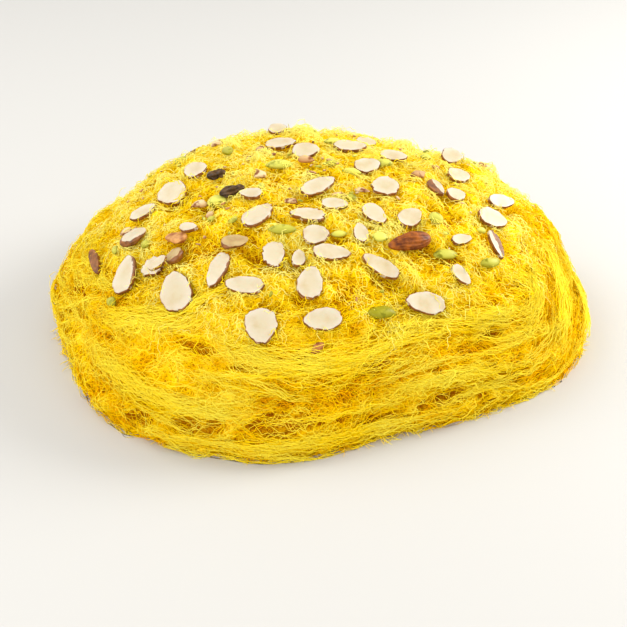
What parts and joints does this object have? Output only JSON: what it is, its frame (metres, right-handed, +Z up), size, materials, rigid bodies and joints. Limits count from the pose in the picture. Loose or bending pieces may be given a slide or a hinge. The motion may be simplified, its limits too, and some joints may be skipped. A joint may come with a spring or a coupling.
{
  "type": "sutarfeni",
  "caption": "Domed mound of hair-fine fried dough threads, combed round its sides and matted on top, strewn with sliced almonds, pistachios and raisins.",
  "frame": {"origin": "centre of the mound's flat foot, where it rests", "axes": "+Z up out of the foot; -Y is the front, the side shown first"},
  "size_m": [0.2775, 0.2748, 0.0886],
  "materials": {
    "fried_threads": "matted and combed fine fried threads, satin with a trace of ghee",
    "almond": "cut almond, matte cream with a brown skin rim",
    "almond_skin": "wrinkled brown almond skin, matte",
    "raisin": "wrinkled dark raisin skin with a soft gloss"
  },
  "bodies": {
    "root": {"feni_mound": "fried_threads", "whole_almond": "almond_skin", "almond_chunk_1": "almond_skin", "almond_chunk_2": "almond_skin", "almond_chunk_3": "almond_skin", "almond_chunk_4": "almond_skin", "raisin_1": "raisin", "raisin_2": "raisin", "almond_slice_01": "almond", "almond_slice_02": "almond", "almond_slice_03": "almond", "almond_slice_04": "almond", "almond_slice_05": "almond", "almond_slice_06": "almond", "almond_slice_07": "almond", "almond_slice_08": "almond", "almond_slice_09": "almond", "almond_slice_10": "almond", "almond_slice_11": "almond", "almond_slice_12": "almond", "almond_slice_13": "almond", "almond_slice_14": "almond", "almond_slice_15": "almond", "almond_slice_16": "almond", "almond_slice_17": "almond", "almond_slice_18": "almond", "almond_slice_19": "almond", "almond_slice_20": "almond", "almond_slice_21": "almond", "almond_slice_22": "almond", "almond_slice_23": "almond", "almond_slice_24": "almond", "almond_slice_25": "almond", "almond_slice_26": "almond", "almond_slice_27": "almond", "almond_slice_28": "almond", "almond_slice_29": "almond", "almond_slice_30": "almond", "almond_slice_31": "almond", "almond_slice_32": "almond", "almond_slice_33": "almond", "almond_slice_34": "almond", "almond_slice_35": "almond", "almond_slice_36": "almond", "almond_slice_37": "almond", "almond_slice_38": "almond", "almond_slice_39": "almond", "almond_slice_40": "almond", "almond_slice_41": "almond", "almond_slice_42": "almond", "almond_slice_43": "almond", "almond_slice_44": "almond", "almond_slice_45": "almond", "almond_slice_46": "almond", "almond_slice_47": "almond", "almond_slice_48": "almond", "almond_slice_49": "almond", "almond_slice_50": "almond", "almond_slice_51": "almond", "almond_slice_52": "almond"}
  },
  "joints": []
}
